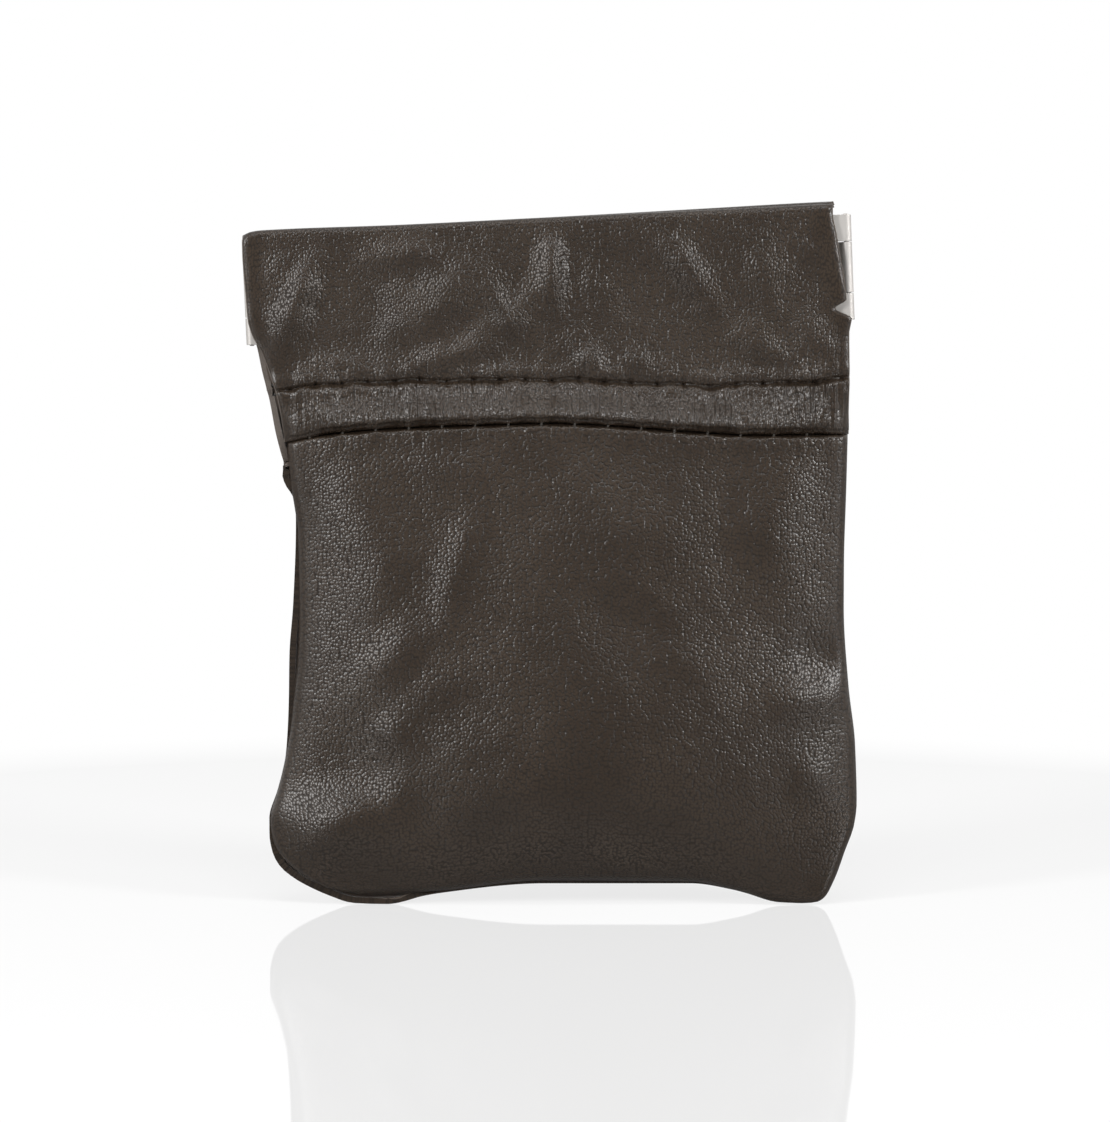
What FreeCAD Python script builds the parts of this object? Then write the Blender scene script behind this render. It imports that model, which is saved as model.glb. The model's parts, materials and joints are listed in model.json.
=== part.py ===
"""Squeeze coin purse: a turned leather pouch on a flat spring frame.

Two spring strips lie in leather casings along the mouth and are hinged on a pin at each end.
Pressing the two ends together bows the strips apart and opens the mouth.
Millimetres, +X to the right, front towards -Y, +Z up, origin under the middle of the purse.
"""

import FreeCAD, Part

import math
import os

from FreeCAD import Vector

# Spring frame
frame_length = 84.6
strip_height = 14.6
strip_thickness = 0.35
arm_length = 25.0
flex_gap = 1.3
end_radius = 1.5
frame_top_drop = 1.2

# Hinge knuckles and pins
pin_radius = 0.35
pin_clearance = 0.05
pin_overhang = 0.15
pin_chamfer = 0.12
end_knuckle_height = 3.7
knuckle_gap = 0.1
window_depth = 0.7
roll_gap = 0.1

# Leather
leather = 0.9
skived_leather = 0.27
strip_fit = 0.08
lip_gap = 0.1

# Casings along the mouth
mouth_top = 96.0
mouth_tilt = 2.4
tilt_pivot_z = 37.0
casing_end_show = 1.7
casing_top_shift = -0.9
casing_tunnel_shift = 0.4
tunnel_row_draw = 1.2
tunnel_depth = 22.5
band_height = 7.0
hem_drop = 2.0
notch_depth = 2.2
notch_rise = 2.1
hinge_room = 0.25
seam_groove = 0.5

# Pouch outline, as half widths and heights
pouch_top_half = 39.0
waist_half = 38.2
waist_drop = 24.5
corner_half = 41.1
corner_z = 13.0
foot_outer = 33.0
foot_inner = 27.0
arch_height = 3.2
corner_bow_share = math.sqrt(0.5)

# Pouch crown: depth of the front skin on the centre line at five heights
foot_depth = 2.7
belly_low_depth = 5.8
belly_low_z = 6.0
belly_depth = 8.5
belly_z = 22.0
chest_depth = 6.2
chest_drop = 21.5
neck_depth = 3.4
rim_depth = 1.9
crown_margin = 1.4
half_gap = 0.06
crown_band = 3.5
rim_bevel = 0.9

# Turned seam inside the pouch edge
allowance_width = 4.0
allowance_half = 0.75
allowance_fit = 0.15
allowance_rise = 2.5

# Sewing thread
thread_width = 0.35
thread_height = 0.15
thread_top_share = 0.5
tunnel_pitch = 3.65
tunnel_stitch = 3.1
tunnel_thread_lift = 0.6
band_pitch = 4.6
seam_pitch = 4.4
seam_stitch = 3.2
row_margin = 2.0

# One overrun serves every cut
overrun = 2.0

# Sizes that follow from the ones above
knuckle_radius = pin_radius + pin_clearance + strip_thickness
pin_x = frame_length / 2 - knuckle_radius
strip_inner_y = knuckle_radius - strip_thickness
strip_top = mouth_top - frame_top_drop
strip_bottom = strip_top - strip_height
strip_middle_half = pin_x - arm_length - flex_gap
casing_half = frame_length / 2 - casing_end_show
tunnel_row_half = casing_half - tunnel_row_draw
casing_inner_y = lip_gap / 2
tunnel_inner_y = casing_inner_y + skived_leather
tunnel_outer_y = knuckle_radius + strip_fit
casing_outer_y = tunnel_outer_y + leather
tunnel_row_z = mouth_top - tunnel_depth
hem_bottom = tunnel_row_z - hem_drop
pouch_top = tunnel_row_z - band_height
allowance_top = pouch_top + allowance_rise
waist_z = pouch_top - waist_drop
chest_z = pouch_top - chest_drop
crown_bands = round((pouch_top + 2 * overrun) / crown_band)
crown_reach = max(pouch_top_half, waist_half, corner_half) + crown_margin
crown_stations = [
    (-overrun, foot_depth),
    (belly_low_z, belly_low_depth),
    (belly_z, belly_depth),
    (chest_z, chest_depth),
    (pouch_top, neck_depth),
    (pouch_top + overrun, neck_depth),
]


def polygon_face(points):
    """Flat face inside a closed run of straight edges."""
    return Part.Face(Part.makePolygon(points + points[:1]))


def along_y(wire, start, end):
    """Solid of an XZ outline from y = start to y = end."""
    face = Part.Face(wire)
    face.translate(Vector(0, start, 0))
    return face.extrude(Vector(0, end - start, 0))


def to_back(shape):
    """The same piece on the back of the purse."""
    return shape.mirror(Vector(0, 0, 0), Vector(0, 1, 0))


def to_left(shape):
    """The same piece at the left end of the frame."""
    return shape.mirror(Vector(0, 0, 0), Vector(1, 0, 0))


def leaned(shape):
    """A piece of the mouth, leaning to the left as the soft pouch lets it."""
    shape = shape.copy()
    shape.rotate(Vector(0, 0, tilt_pivot_z), Vector(0, 1, 0), -mouth_tilt)
    return shape


def smooth_edge(points, start_tangent, end_tangent):
    curve = Part.BSplineCurve()
    curve.interpolate(Points=points, InitialTangent=start_tangent, FinalTangent=end_tangent)
    return curve.toShape()


def pouch_side(inset):
    """Right edge of the pouch from its top, in at the waist and out round the corner to the foot."""
    corner_width = corner_half - inset - foot_outer
    corner_height = corner_z - inset
    points = [
        Vector(pouch_top_half - inset, 0, pouch_top),
        Vector(waist_half - inset, 0, waist_z),
        Vector(corner_half - inset, 0, corner_z),
        Vector(
            foot_outer + corner_width * corner_bow_share,
            0,
            corner_z - corner_height * corner_bow_share,
        ),
        Vector(foot_outer, 0, inset),
    ]
    return smooth_edge(points, Vector(0, 0, -1), Vector(-1, 0, 0))


def pouch_outline(inset, top):
    """Closed XZ outline of the pouch, drawn in by inset, with straight sides above its own top."""
    right = pouch_side(inset)
    left = to_left(right)
    arch = smooth_edge(
        [
            Vector(foot_inner, 0, inset),
            Vector(0, 0, arch_height + inset),
            Vector(-foot_inner, 0, inset),
        ],
        Vector(-1, 0, 0),
        Vector(-1, 0, 0),
    )
    half = pouch_top_half - inset
    edges = [
        right,
        Part.makeLine(Vector(foot_outer, 0, inset), Vector(foot_inner, 0, inset)),
        arch,
        Part.makeLine(Vector(-foot_inner, 0, inset), Vector(-foot_outer, 0, inset)),
        left,
        Part.makeLine(Vector(-half, 0, top), Vector(half, 0, top)),
    ]
    if top > pouch_top:
        edges.append(Part.makeLine(Vector(-half, 0, pouch_top), Vector(-half, 0, top)))
        edges.append(Part.makeLine(Vector(half, 0, top), Vector(half, 0, pouch_top)))
    return Part.Wire(Part.__sortEdges__(edges))


def crown_y(x, depth):
    """Y of the front skin at x on a crown of that depth at its middle."""
    rise = depth - rim_depth
    radius = (crown_reach**2 + rise**2) / (2 * rise)
    return -(depth - radius + math.sqrt(radius**2 - x**2))


def crown_section(level, depth, skin):
    """Outline at one height: the front skin's arc, drawn in by skin, closed behind the middle of the purse."""
    left = Vector(-crown_reach, skin - rim_depth, level)
    middle = Vector(0, skin - depth, level)
    right = Vector(crown_reach, skin - rim_depth, level)
    right_back = Vector(crown_reach, overrun, level)
    left_back = Vector(-crown_reach, overrun, level)
    return Part.Wire(
        [
            Part.Arc(left, middle, right).toShape(),
            Part.makeLine(right, right_back),
            Part.makeLine(right_back, left_back),
            Part.makeLine(left_back, left),
        ]
    )


def crown(skin):
    """Solid behind the swelling front of the pouch, drawn in by skin, in narrow bands up its centre line."""
    line = Part.BSplineCurve()
    line.interpolate(Points=[Vector(0, depth, level) for level, depth in crown_stations])
    points = line.discretize(Number=crown_bands + 1)
    sections = [crown_section(point.z, point.y, skin) for point in points]
    return Part.makeLoft(sections, True, True)


def bevelled_rim(body):
    """The pouch's front half with the edge between its crown and its sides eased, as leather turns over."""
    rim = []
    for edge in body.Edges:
        box = edge.BoundBox
        if box.YMax < -half_gap - rim_bevel / 2 and box.ZMin < pouch_top - rim_bevel:
            rim.append(edge)
    return body.makeChamfer(rim_bevel, rim)


def front_panel():
    """Front half of the pouch: a crowned skin with turned edges at its sides and foot, open at the top."""
    reach = belly_depth + overrun
    body = along_y(pouch_outline(0, pouch_top), -reach, -half_gap).common(crown(0))
    hollow = along_y(pouch_outline(leather, pouch_top + overrun), -reach, overrun)
    return bevelled_rim(body).cut(hollow.common(crown(leather)))


def pouch_seam():
    """Turned-in edges of both halves, sewn together along the sides and foot."""
    outer_inset = leather + allowance_fit
    outer = along_y(pouch_outline(outer_inset, allowance_top), -allowance_half, allowance_half)
    inner = pouch_outline(outer_inset + allowance_width, allowance_top + overrun)
    return outer.cut(along_y(inner, -allowance_half - overrun, allowance_half + overrun))


def tunnel_profile():
    """YZ section of the leather folded over the strip, open below between its two layers."""
    fold_radius = (casing_outer_y - casing_inner_y) / 2
    fold_middle = (casing_outer_y + casing_inner_y) / 2
    fold_z = mouth_top - fold_radius
    roof_radius = (tunnel_outer_y - tunnel_inner_y) / 2
    roof_middle = (tunnel_outer_y + tunnel_inner_y) / 2
    outer_low = Vector(0, -casing_outer_y, tunnel_row_z)
    outer_high = Vector(0, -casing_outer_y, fold_z)
    fold_top = Vector(0, -fold_middle, mouth_top)
    inner_high = Vector(0, -casing_inner_y, fold_z)
    inner_low = Vector(0, -casing_inner_y, hem_bottom)
    hem_low = Vector(0, -tunnel_inner_y, hem_bottom)
    roof_inner = Vector(0, -tunnel_inner_y, fold_z)
    roof_top = Vector(0, -roof_middle, fold_z + roof_radius)
    roof_outer = Vector(0, -tunnel_outer_y, fold_z)
    skin_low = Vector(0, -tunnel_outer_y, tunnel_row_z)
    return Part.Wire(
        [
            Part.makeLine(outer_low, outer_high),
            Part.Arc(outer_high, fold_top, inner_high).toShape(),
            Part.makeLine(inner_high, inner_low),
            Part.makeLine(inner_low, hem_low),
            Part.makeLine(hem_low, roof_inner),
            Part.Arc(roof_inner, roof_top, roof_outer).toShape(),
            Part.makeLine(roof_outer, skin_low),
            Part.makeLine(skin_low, outer_low),
        ]
    )


def casing_tunnel():
    """Folded part of a casing: its ends slant, as it has slipped on the frame, and are notched at the hinge."""
    section = Part.Face(tunnel_profile())
    section.translate(Vector(-casing_half - overrun, 0, 0))
    length = 2 * (casing_half + overrun)
    band = section.extrude(Vector(length, 0, 0))
    top = mouth_top + overrun
    ends = [
        (casing_half, casing_top_shift, top),
        (casing_half, casing_tunnel_shift, strip_bottom + notch_rise),
        (casing_half - notch_depth, casing_tunnel_shift, strip_bottom),
        (casing_half, casing_tunnel_shift, strip_bottom),
        (tunnel_row_half, 0, tunnel_row_z),
        (tunnel_row_half, 0, hem_bottom - overrun),
    ]
    right = [Vector(shift + half, 0, z) for half, shift, z in ends]
    left = [Vector(shift - half, 0, z) for half, shift, z in reversed(ends)]
    trim = polygon_face(right + left)
    trim.translate(Vector(0, -casing_outer_y - overrun, 0))
    band = band.common(trim.extrude(Vector(0, casing_outer_y + overrun, 0)))
    room = hinge_space()
    return band.cut(room).cut(to_left(room))


def hinge_space():
    """Room behind a casing's outer layer for the barrels of the right hinge."""
    start = pin_x - knuckle_radius - hinge_room
    bottom = strip_bottom - hinge_room
    return Part.makeBox(
        frame_length / 2 + overrun - start,
        tunnel_outer_y + overrun,
        strip_height + 2 * hinge_room,
        Vector(start, -tunnel_outer_y, bottom),
    )


def casing_skirt():
    """Lower part of a casing, from the tunnel's sewn row down to the seam with the panel."""
    high = [
        Vector(-tunnel_row_half, -casing_outer_y, tunnel_row_z),
        Vector(tunnel_row_half, -casing_outer_y, tunnel_row_z),
        Vector(tunnel_row_half, -tunnel_outer_y, tunnel_row_z),
        Vector(-tunnel_row_half, -tunnel_outer_y, tunnel_row_z),
    ]
    low_z = pouch_top + seam_groove
    half = pouch_top_half
    edge_y = crown_y(half, neck_depth)
    low_outer = [Vector(-half, edge_y, low_z), Vector(0, -neck_depth, low_z), Vector(half, edge_y, low_z)]
    low_inner = [point + Vector(0, leather, 0) for point in reversed(low_outer)]
    low = Part.Wire(
        [
            Part.Arc(*low_outer).toShape(),
            Part.makeLine(low_outer[2], low_inner[0]),
            Part.Arc(*low_inner).toShape(),
            Part.makeLine(low_inner[2], low_outer[0]),
        ]
    )
    high_wire = leaned(Part.makePolygon(high + high[:1]))
    return Part.makeLoft([low, high_wire], True, True)


def front_casing():
    """Leather band that wraps the front strip and hangs down to the panel."""
    return leaned(casing_tunnel()).fuse(casing_skirt()).removeSplitter()


def strip_plate(start_x, end_x, free_ends):
    """Flat length of the front strip, with its corners rounded at the ends that are free."""
    plate = Part.makeBox(
        end_x - start_x,
        strip_thickness,
        strip_height,
        Vector(start_x, -knuckle_radius, strip_bottom),
    )
    corners = []
    for edge in plate.Edges:
        across = edge.BoundBox.YLength > strip_thickness / 2
        if across and any(abs(edge.BoundBox.XMin - x) < strip_thickness for x in free_ends):
            corners.append(edge)
    return plate.makeFillet(end_radius, corners)


def knuckle(bottom, height):
    """Barrel rolled from the strip round the right pin, with the slit where the roll meets the strip."""
    foot = Vector(pin_x, 0, bottom)
    barrel = Part.makeCylinder(knuckle_radius, height, foot)
    slit = Part.makeBox(
        knuckle_radius,
        roll_gap,
        height,
        Vector(pin_x - knuckle_radius, -strip_inner_y, bottom),
    )
    return barrel.cut(slit)


def pin_bore():
    height = strip_height + 2 * overrun
    return Part.makeCylinder(pin_radius + pin_clearance, height, Vector(pin_x, 0, strip_bottom - overrun))


def clear_of_barrel(bottom, height):
    """Room in a strip's end for the other strip's barrel to turn."""
    depth = knuckle_radius + window_depth
    return Part.makeBox(
        depth + overrun,
        2 * knuckle_radius,
        height,
        Vector(pin_x - depth, -2 * knuckle_radius + strip_inner_y, bottom),
    )


def front_arm():
    """Right arm of the front strip, with a barrel at its top and bottom and a window between them."""
    window_bottom = strip_bottom + end_knuckle_height
    window_height = strip_height - 2 * end_knuckle_height
    inner_x = pin_x - arm_length
    arm = strip_plate(inner_x, pin_x, [inner_x])
    arm = arm.cut(clear_of_barrel(window_bottom, window_height))
    upper_bottom = strip_top - end_knuckle_height
    for bottom in (strip_bottom, upper_bottom):
        arm = arm.fuse(knuckle(bottom, end_knuckle_height))
    return arm.cut(pin_bore()).removeSplitter()


def back_arm():
    """Right arm of the back strip, with one barrel between the front strip's two."""
    notch_height = end_knuckle_height + knuckle_gap
    inner_x = pin_x - arm_length
    arm = strip_plate(inner_x, pin_x, [inner_x])
    arm = arm.cut(clear_of_barrel(strip_bottom - overrun, notch_height + overrun))
    arm = arm.cut(clear_of_barrel(strip_top - notch_height, notch_height + overrun))
    middle_height = strip_height - 2 * notch_height
    arm = arm.fuse(knuckle(strip_bottom + notch_height, middle_height))
    return to_back(arm.cut(pin_bore()).removeSplitter())


def strip_middle():
    """Middle of the front strip, rounded at both ends."""
    half = strip_middle_half
    return strip_plate(-half, half, [-half, half])


def hinge_pin():
    """Pin of the right hinge, with its ends chamfered."""
    height = strip_height + 2 * pin_overhang
    pin = Part.makeCylinder(pin_radius, height, Vector(pin_x, 0, strip_bottom - pin_overhang))
    rims = [edge for edge in pin.Edges if edge.Closed]
    return pin.makeChamfer(pin_chamfer, rims)


def stitch(length):
    """One stitch along X, lying on a face at y = 0 and standing out to the front."""
    half = thread_width / 2
    top_half = half * thread_top_share
    section = polygon_face(
        [
            Vector(-length / 2, 0, -half),
            Vector(-length / 2, -thread_height, -top_half),
            Vector(-length / 2, -thread_height, top_half),
            Vector(-length / 2, 0, half),
        ]
    )
    return section.extrude(Vector(length, 0, 0))


def row_places(half_length, pitch):
    """Middles of the stitches in a row that is centred on x = 0."""
    count = int(2 * (half_length - row_margin) // pitch)
    return [(index - (count - 1) / 2) * pitch for index in range(count)]


def tunnel_thread():
    """Sewn row that closes the tunnel under the front strip."""
    stitches = []
    for x in row_places(tunnel_row_half, tunnel_pitch):
        one = stitch(tunnel_stitch)
        one.translate(Vector(x, -casing_outer_y, tunnel_row_z + tunnel_thread_lift))
        stitches.append(one)
    return leaned(Part.makeCompound(stitches))


def band_thread():
    """Stitches that bridge the groove between the front casing and the front panel."""
    stitches = []
    for x in row_places(pouch_top_half, band_pitch):
        middle_y = crown_y(x, neck_depth) + leather / 2
        corner = Vector(x - thread_width / 2, middle_y - thread_width / 2, pouch_top)
        stitches.append(Part.makeBox(thread_width, thread_width, seam_groove, corner))
    return Part.makeCompound(stitches)


def seam_thread():
    """Row of stitches along the middle of the turned seam."""
    inset = leather + allowance_fit + allowance_width / 2
    right = pouch_side(inset)
    stitches = []
    side_count = int(right.Length // seam_pitch)
    for index in range(side_count):
        place = right.getParameterByLength((2 * index + 1) / 2 * seam_pitch)
        point = right.valueAt(place)
        tangent = right.tangentAt(place)
        one = stitch(seam_stitch)
        one.rotate(Vector(0, 0, 0), Vector(0, -1, 0), math.degrees(math.atan2(tangent.z, tangent.x)))
        one.translate(point + Vector(0, -allowance_half, 0))
        stitches.extend([one, to_left(one)])
    return Part.makeCompound(stitches)


def build():
    """Every piece of the purse by its name, before the origin is set."""
    front_right_arm = front_arm()
    back_right_arm = back_arm()
    right_pin = hinge_pin()
    middle = strip_middle()
    casing = front_casing()
    panel = front_panel()
    tunnel_row = tunnel_thread()
    band_row = band_thread()
    return {
        "pouch_seam": pouch_seam(),
        "seam_thread": seam_thread(),
        "front_panel": panel,
        "back_panel": to_back(panel),
        "front_casing": casing,
        "back_casing": to_back(casing),
        "front_tunnel_thread": tunnel_row,
        "back_tunnel_thread": to_back(tunnel_row),
        "front_band_thread": band_row,
        "back_band_thread": to_back(band_row),
        "front_strip_middle": leaned(middle),
        "back_strip_middle": leaned(to_back(middle)),
        "front_strip_right_arm": leaned(front_right_arm),
        "front_strip_left_arm": leaned(to_left(front_right_arm)),
        "back_strip_right_arm": leaned(back_right_arm),
        "back_strip_left_arm": leaned(to_left(back_right_arm)),
        "right_hinge_pin": leaned(right_pin),
        "left_hinge_pin": leaned(to_left(right_pin)),
    }


def origin_shift(pieces):
    """Move that puts the origin under the middle of the whole purse."""
    box = Part.makeCompound(list(pieces.values())).optimalBoundingBox(False, False)
    return Vector(-(box.XMin + box.XMax) / 2, -(box.YMin + box.YMax) / 2, -box.ZMin)


def main():
    pieces = build()
    shift = origin_shift(pieces)
    os.makedirs("parts", exist_ok=True)
    for name, shape in pieces.items():
        shape.translate(shift)
        shape.exportStep("parts/" + name + ".step")
        print(name, len(shape.Solids), shape.isValid(), round(shape.Volume, 3))
    print("origin shift", shift)


main()
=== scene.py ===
"""Looks of a squeeze coin purse: soft pebbled leather on a hinged spring frame.

The leather is built as sheets of points, in millimetres, in the frame of the CAD part: +X to the right,
front towards -Y, +Z up. Outlines and folds are placed by pixels of the photograph.
"""

import json
import math
from functools import partial

import bmesh
import bpy
import numpy as np
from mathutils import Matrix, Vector, noise


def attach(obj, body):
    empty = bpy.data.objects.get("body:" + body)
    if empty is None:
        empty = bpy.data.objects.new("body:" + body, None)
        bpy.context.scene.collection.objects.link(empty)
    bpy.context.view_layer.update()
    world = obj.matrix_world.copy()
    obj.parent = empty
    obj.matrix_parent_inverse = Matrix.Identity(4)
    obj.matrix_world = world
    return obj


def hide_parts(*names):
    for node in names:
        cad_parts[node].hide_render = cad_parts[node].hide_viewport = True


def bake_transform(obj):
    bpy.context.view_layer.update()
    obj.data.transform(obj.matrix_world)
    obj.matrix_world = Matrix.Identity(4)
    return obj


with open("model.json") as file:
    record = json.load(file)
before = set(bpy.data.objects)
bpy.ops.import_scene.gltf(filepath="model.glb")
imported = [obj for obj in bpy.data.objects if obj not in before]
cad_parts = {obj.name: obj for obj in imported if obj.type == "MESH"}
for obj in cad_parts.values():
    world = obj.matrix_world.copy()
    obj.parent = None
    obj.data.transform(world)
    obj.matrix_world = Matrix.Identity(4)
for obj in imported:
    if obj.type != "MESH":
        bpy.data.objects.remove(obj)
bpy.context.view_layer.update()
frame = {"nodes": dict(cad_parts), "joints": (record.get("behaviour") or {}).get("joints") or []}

# Photograph: pixels to millimetres
MM = 0.001
PIXELS_PER_MM = 7.165
PIXEL_X0 = 550
PIXEL_FLOOR = 903
PHOTO_WIDTH = 1110
PHOTO_HEIGHT = 1122
AIM_LEFT = 1
AIM_UP = 4

# Leather, in mm
LEATHER = 0.9
SKIVED = 0.27
EDGE_GAP = 0.05
EDGE_RADIUS = 1.2
EDGE_SWELL = 0.7
EDGE_SWELL_REACH = 3.5
ON_EDGE = 1e-4
TINY_STEP = 1e-9
TINY_NORMAL = 1e-12
RIM_DEPTH = 1.9
PANEL_HEIGHT = 66.0
PANEL_LEFT_X = -37.0
FINE_ROWS_TOP = 12.0
LOW_ROWS = 20
HIGH_ROWS = 64
COLUMNS = 109
EDGE_COLUMN_SHARE = 0.35
EDGE_COLUMNS = [0.0018, 0.0038]
FOOT_FADE = 4.0
FOLD_FADE = 3.0
SEAM_HALF_GAP = 0.22
SEAM_TOUCH = 0.01
SEAM_GAP_POWER = 0.7
SEAM_GAP_FADE = 3.0
SEAM_ROLL = 0.6
ROLL_ANGLES = range(15, 91, 15)
SEAM_ALLOWANCE = [0.4, 0.9, 1.5]
CUT_X = 1.0
UV_MM = 100.0
CASING_GRAIN = (1.3, 1.0)
STRETCHED_GRAIN = 0.3
STRETCHED_REACH = 5.0
FOLD_STRENGTH = 2.0
FOLD_END_SHARE = 0.35
CREASE_AMOUNT = 0.12
CREASE_SIZE = 5.0
CREASE_OCTAVES = [(1, 1), (2.3, 0.5)]

# Depth of the crown on the centre line, by height
CROWN = [(-2, 2.7), (6, 5.8), (22, 8.5), (45, 6.2), (66.5, 3.4), (70, 3.2)]

# Casing
LIP_INNER_DEPTH = 0.05
LIP_OUTER_DEPTH = 1.73
LIP_RADIUS = (LIP_OUTER_DEPTH - LIP_INNER_DEPTH) / 2
LIP_MIDDLE = (LIP_OUTER_DEPTH + LIP_INNER_DEPTH) / 2
LIP_ANGLES = [15, 35, 55, 75, 90, 105, 125, 145, 165, 180]
RISE_START = -10.0
RISE_RUN = 50.0
HEM_Z = 71.5
HEM_ROWS = 9
INNER_LAYER_INSET = 5.0
INSET_FROM_ANGLE = 110
TUNNEL_DEPTH = 0.83
TUNNEL_START_SHARE = 0.05
TUNNEL_RISE_SHARE = 0.15
CASING_CREASES = 2.2
CASING_SEED_STEP = 7
BAND_SEED_STEP = 3
VALLEY = 0.3
VALLEY_SOFTNESS = 0.12
SETTLE_FROM_SHARE = 0.8
SETTLED_SHARE = 0.3
CASING_EDGE_DROP = 0.45
CASING_EDGE_REACH = 0.7
CASING_END_GUESS = [-40.0, 41.0]
CASING_END_ROUNDS = 4
BAND_SHARES = [0, 0.015, 0.035, 0.06, 0.09, *np.linspace(0.13, 0.9, 12), 0.93, 0.95, 0.97, 0.985]
FACE_SPANS = [(0, 0.036, 6), (0.036, 0.1, 7), (0.1, 0.34, 8), (0.34, 0.5, 16), (0.5, 1, 16)]
BAND_PUFF = 0.65
PUFF_SHARE = 0.36
PUFF_END_FADE = 2.0
BAND_STRIPES = 0.05
STRIPE_RATE = 2.1
STRIPE_DRIFT = 1.3
STRIPE_DRIFT_RATE = 0.37

# Sewn rows
TUNNEL_PITCH = 3.65
TUNNEL_STITCH = 3.0
FIRST_STITCH = -34.5
LAST_STITCH = 40.0
STITCH_LIFT = 0.04
STITCH_DIP = 0.45
STITCH_DIP_POWER = 5
STITCH_POINTS = 11
STITCH_WANDER = 0.06
STITCH_WANDER_RATE = 5
ROW_SAG = 0.05
ROW_DRIFT = 0.09
ROW_DRIFT_WAVES = [(1.9, 0), (3.1, 1)]
GROOVE_DEPTH = 0.42
GROOVE_WIDTH = 0.2
HOLE_RADIUS = 0.3
HOLE_DEPTH = 0.38
HOLE_COLUMNS = [-2.4, -1.2, -0.6, 0, 0.6, 1.2, 2.4]
HOLE_COLUMN_MARGIN = 0.01
COLUMN_SPACING = 0.002
PUCKER = 0.16
PUCKER_REACH = 1.6
BAND_PITCH = 4.6
BAND_START = -33.5
BAND_END = 40.0
BAND_STITCH_ENDS = (-36.5, 41.4)
BAND_STITCH_SLANT = 0.12
BAND_STITCH_HALF = 0.75
BAND_STITCH_DEPTH = 0.32
BAND_STITCH_DIP = 0.25
BAND_STITCH_POINTS = 9
FLAT_POWER = 4
THREAD_RADIUS = 0.17
THREAD_SIDES = 8
TAPER_SHARE = 0.97
TAPER_LEAST = 0.05
TAPER_POWER = 6

# Swellings beside the sewn row: height, place above the row and width
SWELLINGS = [(0.26, 1.1, 0.9), (0.2, -1.0, 0.7)]

# Leather drawn into upright lines: fades in the band, then how much and how far above and below it
GATHER_LOW_FADE = 1.5
GATHER_HIGH_FADE = 0.8
GATHER_ABOVE = 0.5
GATHER_ABOVE_REACH = 2.5
GATHER_BELOW = 0.4
GATHER_BELOW_REACH = 2.0
GATHER_PATCH_SIZE = 9
GATHER_PATCH_SEED = 5.5
GATHER_BASE = 0.55
GATHER_RANGE = 0.9

# Turned seam inside the pouch
TURNED_INSET = 1.4
TURNED_WIDTH = 3.6
TURNED_HALF = 0.6
TURNED_SWELL = 1.1
TURNED_TOP_ROOT = 8.1
TURNED_LEFT_FOOT = 1.4
TURNED_RIGHT_FOOT = 0.2
TURNED_SIDE_STEPS = 60
TURNED_FOOT_STEPS = 40
TURNED_SMOOTHING = 6
TURNED_SECTION = [(0, -1), (0.25, -1.1), (0.75, -1.1), (1, -0.8), (1, 0.8), (0.75, 1.1), (0.25, 1.1), (0, 1)]
TURNED_ROW_MARGIN = 4.0
TURNED_ROW_PITCH = 4.4
TURNED_ROW_HALF = 1.5
TURNED_ROW_POINTS = 7
TURNED_ROW_LIFT = 0.1
TURNED_ROW_DIP = 0.2

# Spring frame
STRIP_HEIGHT = 14.6
STRIP_THICKNESS = 0.35
KNUCKLE_RADIUS = 0.75
BORE_RADIUS = 0.4
ROLL_START = -90
ROLL_END = 205
ROLL_STEPS = 40
END_KNUCKLE = 3.7
KNUCKLE_GAP = 0.1
TONGUE = 2.8
END_TRAVEL = 3.0
WINDOW_DEPTH = 0.7
BLADE_STEPS = 28
BEVEL_WIDTH = 0.05
BEVEL_ANGLE = 40
SHARP_ANGLE = 35
OUTWARDS = {"left": -1, "right": 1}

# Relief of the leather's grain, and directions in which textures are stretched
GRAIN_WARP = (0.4, 0.4, 0)
GRAIN_DISTANCE = 0.0001
FINE_RISE = -0.07
PORE_RISE = 0.03
GATHER_RISE = 14.0
LINE_STRETCH = (1.0, 0.18, 1.0)
BRUSH_STRETCH = (400.0, 400.0, 6000.0)

# Limits of a texture's value, and roughness as a share of the texture and a base
TONE_LIMITS = (0.3, 0.7)
# Next: how deep in the grain's valleys the painted shade begins and is full
VALLEY_SHADE_LIMITS = (0.06, 0.32)
LEATHER_ROUGHNESS = (0.12, 0.4)
NICKEL_ROUGHNESS = (0.14, 0.58)

# Linear colours: darker and lighter, and painted shade for the valleys of the grain
GRAIN_COLOURS = [(0.0254, 0.0162, 0.0097, 1), (0.033, 0.0217, 0.0134, 1)]
# Painted shade: the grain's valleys are coloured darker, where shade would fall between pebbles
VALLEY_SHADE_COLOUR = (0.0155, 0.01, 0.0061, 1)
RAW_EDGE_COLOURS = [(0.05, 0.038, 0.03, 1), (0.12, 0.1, 0.085, 1)]
FLESH_COLOURS = [(0.055, 0.04, 0.031, 1), (0.1, 0.075, 0.058, 1)]
THREAD_COLOURS = [(0.013, 0.01, 0.007, 1), (0.034, 0.028, 0.02, 1)]
NICKEL_COLOURS = [(0.6, 0.58, 0.555, 1), (0.7, 0.675, 0.65, 1)]
TABLE_COLOUR = (0.97, 0.97, 0.97, 1)
DARK_COLOUR = (0.02, 0.02, 0.02, 1)
WHITE = (1, 1, 1, 1)

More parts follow.
